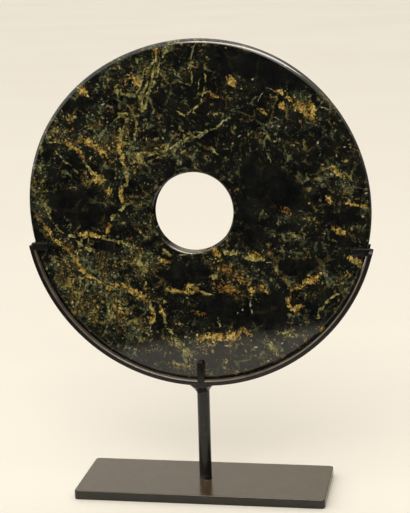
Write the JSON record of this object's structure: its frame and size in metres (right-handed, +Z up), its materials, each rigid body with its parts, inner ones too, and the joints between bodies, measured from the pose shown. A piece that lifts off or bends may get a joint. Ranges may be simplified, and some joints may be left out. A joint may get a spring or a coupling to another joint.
{
  "type": "stone bi disc on a steel stand",
  "caption": "Polished dark green stone ring held upright in a blackened steel cradle, on a round rod and a flat rectangular base plate.",
  "frame": {"origin": "middle of the base plate's underside, on the surface that the stand rests on", "axes": "+Z up along the rod, +X to the right as seen from the front, +Y towards the back, so the front face looks along -Y"},
  "size_m": [0.308, 0.0874, 0.4102],
  "materials": {
    "stone": "polished",
    "blackened_steel": "satin"
  },
  "bodies": {
    "root": {"bi_disc": "stone", "cradle_bar": "blackened_steel", "front_left_tab": "blackened_steel", "front_right_tab": "blackened_steel", "front_foot_finger": "blackened_steel", "rear_left_tab": "blackened_steel", "rear_right_tab": "blackened_steel", "rear_foot_finger": "blackened_steel", "support_rod": "blackened_steel", "base_plate": "blackened_steel"}
  },
  "joints": []
}
